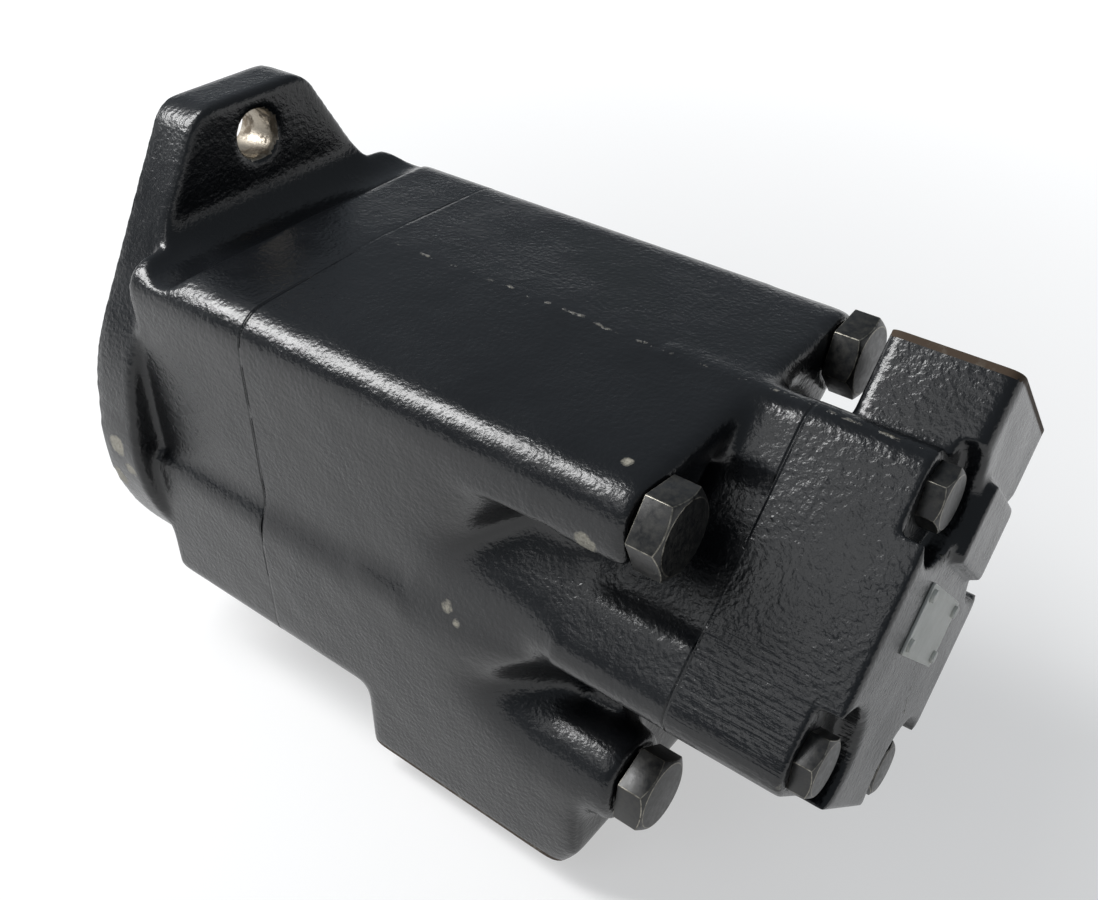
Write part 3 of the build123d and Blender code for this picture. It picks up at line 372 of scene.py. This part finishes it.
# Front body: flanged casting, milled on its mounting face, pilot and front outlet face. The flange
# holes are drilled through the paint and stay bright.
front_joint = 77.5 * MM
ear_hole_height = 90.5 * MM
ear_hole_reach = 9.6 * MM
front_bore_reach = 57 * MM
flange_thickness = 20 * MM
front_outlet_face = -71.0 * MM
front_enamel = painted_iron(
    "gloss_enamel_on_flange_casting", 1.6 * MM, 0.30 * MM, (front_joint,),
    ((9, -77, -8, 7), (14, -75, -17, 6), (3, -74, -25, 8), (20, -66, -20, 5)))


def front_finish(p, n):
    """Bright in the flange holes and the bores, rusted on the milled faces, painted elsewhere."""
    hole = math.hypot(p.y, abs(p.z) - ear_hole_height) < ear_hole_reach
    if hole and 0.8 * MM < p.x < flange_thickness - 0.8 * MM:
        return BRIGHT
    if p.x < 0.5 * MM and n.x < -0.5 or p.x < 0:
        return RUSTED
    if abs(p.z - front_outlet_face) < 0.5 * MM and n.z < -0.8:
        return RUSTED
    bore = math.hypot(p.y, p.z) < front_bore_reach - 0.5 * MM
    return BRIGHT if bore and p.x < front_joint - 0.5 * MM else PAINTED


casting("front_body_casting", "front_body", 1.35 * MM, 5, front_enamel,
        ends=(((front_joint, 0, 0), (1, 0, 0)),), flats=(0.0,),
        fixed=lambda p: p.x < -0.7 * MM or math.hypot(p.y, p.z) < front_bore_reach,
        softer=((shoulder, 20),), finish=front_finish)


# Inlet body: the long casting with the suction block, bolt bosses, side valleys and neck. The sand
# core of each valley leaves its blind end as round as a thumb print.
cover_joint = 245.2 * MM
suction_face = -97.5 * MM
suction_rust_rim = 2.6 * MM
inlet_bore_reach = 44 * MM
inlet_enamel = painted_iron(
    "gloss_enamel_on_inlet_casting", 1.6 * MM, 0.30 * MM, (front_joint, cover_joint),
    ((163.5, -70.5, -5, 6), (168, -70.5, -9, 4), (215, -65, 47, 6), (217, -50, 64, 4),
     (200, -68, 10, 3), (217, -66, 36, 4)))


def neck_pocket(p):
    """The shallow pockets on the neck's flats, between the bosses and the cover."""
    return 198 * MM < p.x < 242 * MM and math.hypot(p.y, p.z) > 45 * MM


def valley(p):
    """The blind ends of the side valleys."""
    return 146 * MM < p.x < 204 * MM and abs(p.y) > 40 * MM and -72 * MM < p.z < 46 * MM


casting("inlet_body_casting", "inlet_body", 1.75 * MM, 5, inlet_enamel,
        ends=(((front_joint, 0, 0), (-1, 0, 0)), ((cover_joint, 0, 0), (1, 0, 0)),
              ((0, 0, suction_face), (0, 0, -1))), flats=(),
        fixed=lambda p: math.hypot(p.y, p.z) < inlet_bore_reach,
        softer=((shoulder, 25), (neck_pocket, 12), (valley, 90)),
        finish=lambda p, n: RUSTED if p.z < suction_face + suction_rust_rim
        else BRIGHT if math.hypot(p.y, p.z) < inlet_bore_reach else PAINTED)


# Rear cover: the short casting with the rear outlet boss, bolt pockets and nameplate seat. Its
# sides are coarser than the long casting's and dressed with a grinder on their lower halves.
outlet_face = 80.0 * MM
outlet_rust_rim = 2.2 * MM
cover_bore_reach = 42.5 * MM
cover_bore_depth = 20 * MM
rear_enamel = painted_iron(
    "gloss_enamel_on_cover_casting", 2.0 * MM, 0.40 * MM, (cover_joint,),
    ((290, -71, 2, 7), (283, -71, 0, 5), (275, -72, 1, 4), (293, -60, 12, 5)), lined=True)


def outlet_reach(p):
    """How far a point lies towards the rear outlet's face."""
    return (p.y + p.z) / math.sqrt(2)


casting("rear_cover_casting", "rear_cover", 1.1 * MM, 5, rear_enamel,
        ends=(((cover_joint, 0, 0), (-1, 0, 0)),
              ((0, outlet_face / math.sqrt(2), outlet_face / math.sqrt(2)),
               (0, math.sqrt(0.5), math.sqrt(0.5)))), flats=(),
        fixed=lambda p: math.hypot(p.y, p.z) < cover_bore_reach and p.x < cover_joint + cover_bore_depth,
        softer=(),
        finish=lambda p, n: RUSTED if outlet_reach(p) > outlet_face - outlet_rust_rim else PAINTED)


# Bolts: hexagon head bolts, black-oxide steel with paint overspray, and bright steel on all their
# broken edges, partly wear from the wrench on their heads and partly a painted edge highlight.
def crisp(name, node, edge, coats, body):
    """A machined piece with a broken edge, made from the CAD node that it stands for. The last of the
    coats goes on the broken edges."""
    mesh = bpy.data.meshes.new(name)
    shape = bmesh.new()
    shape.from_mesh(nodes[node].data)
    bmesh.ops.remove_doubles(shape, verts=shape.verts, dist=0.002 * MM)
    bmesh.ops.dissolve_limit(shape, angle_limit=math.radians(1), verts=shape.verts, edges=shape.edges)
    sharp = [e for e in shape.edges if len(e.link_faces) == 2 and e.calc_face_angle() > math.radians(25)]
    for face in shape.faces:
        face.material_index = 0
    bevelled_edges = bmesh.ops.bevel(shape, geom=sharp, offset=edge, affect="EDGES", segments=2, profile=0.5,
                           material=-1, clamp_overlap=True)
    # On the bolts the last coat is bright steel: partly wear, partly a painted edge highlight
    for face in bevelled_edges["faces"]:
        face.material_index = len(coats) - 1
    for face in shape.faces:
        face.smooth = True
    shape.to_mesh(mesh)
    shape.free()
    mesh.set_sharp_from_angle(angle=math.radians(35))
    for coat in coats:
        mesh.materials.append(coat)
    piece = new_object(name, mesh)
    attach(piece, body)
    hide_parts(node)
    return piece


def bolt_steel(name, light, dark, roughness, metallic):
    """Bolt steel with a mottle of 2 mm where the overspray is thick and thin."""
    material, output = new_material(name)
    place = add_node(material, "ShaderNodeTexCoord").outputs["Object"]
    speck = add_node(material, "ShaderNodeTexNoise", inputs={"Vector": place, "Scale": 1 / (2.0 * MM),
                     "Detail": 4.0, "Roughness": 0.65})
    thick = add_node(material, "ShaderNodeMapRange", inputs={"Value": speck.outputs["Fac"],
                     "From Min": 0.35, "From Max": 0.65})
    colour = add_node(material, "ShaderNodeMix", {"data_type": "RGBA"},
                      {"Factor": thick.outputs[0], 6: hex_colour(dark), 7: hex_colour(light)})
    shine = add_node(material, "ShaderNodeMapRange", inputs={"Value": thick.outputs[0],
                     "To Min": roughness, "To Max": roughness + 0.14})
    bump = add_node(material, "ShaderNodeBump", inputs={"Height": speck.outputs["Fac"],
                    "Strength": 1.0, "Distance": 0.06 * MM})
    steel = add_node(material, "ShaderNodeBsdfPrincipled", inputs={
        "Base Color": colour.outputs[2], "Roughness": shine.outputs[0], "Metallic": metallic,
        "Normal": bump.outputs[0]})
    material.node_tree.links.new(steel.outputs[0], output.inputs["Surface"])
    return material


oxide = bolt_steel("black_oxide_bolt_steel", "2B2A27", "101113", 0.30, 0.0)
# Bright steel for every broken bolt edge: partly wear from the wrench, partly a painted edge highlight
wear_and_highlight_steel = bolt_steel("wear_and_highlight_bolt_steel", "9A968C", "4A4842", 0.32, 0.9)
crisp("main_bolt_set", "main_bolts", 0.4 * MM, (oxide, wear_and_highlight_steel), "housing")
crisp("cover_bolt_set", "cover_bolts", 0.35 * MM, (oxide, wear_and_highlight_steel), "housing")


# Nameplate: a blank rolled aluminium plate, matt anodised, held by four small drive pins.
def plain_metal(name, light, dark, roughness, pitch, metallic=1.0):
    """Machined or rolled metal with a faint mottle, and tool marks at the given pitch."""
    material, output = new_material(name)
    place = add_node(material, "ShaderNodeTexCoord").outputs["Object"]
    mottle = add_node(material, "ShaderNodeTexNoise", inputs={"Vector": place, "Scale": 1 / (6 * MM),
                      "Detail": 4.0, "Roughness": 0.6})
    marks = add_node(material, "ShaderNodeTexNoise", inputs={"Vector": place, "Scale": 1 / pitch,
                     "Detail": 2.0, "Roughness": 0.5})
    colour = add_node(material, "ShaderNodeMix", {"data_type": "RGBA"},
                      {"Factor": mottle.outputs["Fac"], 6: hex_colour(light), 7: hex_colour(dark)})
    shine = add_node(material, "ShaderNodeMapRange", inputs={"Value": mottle.outputs["Fac"],
                     "From Min": 0.3, "From Max": 0.7, "To Min": roughness - 0.05,
                     "To Max": roughness + 0.07})
    bump = add_node(material, "ShaderNodeBump", inputs={"Height": marks.outputs["Fac"],
                    "Strength": 1.0, "Distance": 0.015 * MM})
    metal = add_node(material, "ShaderNodeBsdfPrincipled", inputs={
        "Base Color": colour.outputs[2], "Roughness": shine.outputs[0], "Metallic": metallic,
        "Normal": bump.outputs[0]})
    material.node_tree.links.new(metal.outputs[0], output.inputs["Surface"])
    return material


aluminium = plain_metal("anodised_aluminium_plate", "E6E6E0", "CFCFC7", 0.5, 0.8 * MM, 0.1)
crisp("nameplate_blank", "nameplate", 0.1 * MM, (aluminium,), "housing")
crisp("nameplate_drive_pins", "nameplate_pins", 0.1 * MM, (aluminium,), "housing")


# Running parts: ground shaft, bearing and cartridges, bronze bushings and nitrile rings, in the
# shapes that the construction gives them.
finish_of = {
    "machined_steel": plain_metal("ground_alloy_steel", "B2B3B4", "8F9091", 0.26, 0.9 * MM),
    "bronze": plain_metal("bearing_bronze", "A8824F", "8A6638", 0.35, 0.9 * MM),
    "bronze_faced_plate": plain_metal("bronze_faced_steel", "B08A55", "97723F", 0.32, 0.9 * MM),
    "rubber": plain_metal("nitrile_rubber", "1A1A1A", "141414", 0.6, 0.8 * MM, 0.0),
}
for entry in frame["record"]["subparts"]:
    shown = nodes[entry["node"]]
    if entry["material_slot"] in finish_of and not shown.hide_render:
        shown.data.materials.clear()
        shown.data.materials.append(finish_of[entry["material_slot"]])
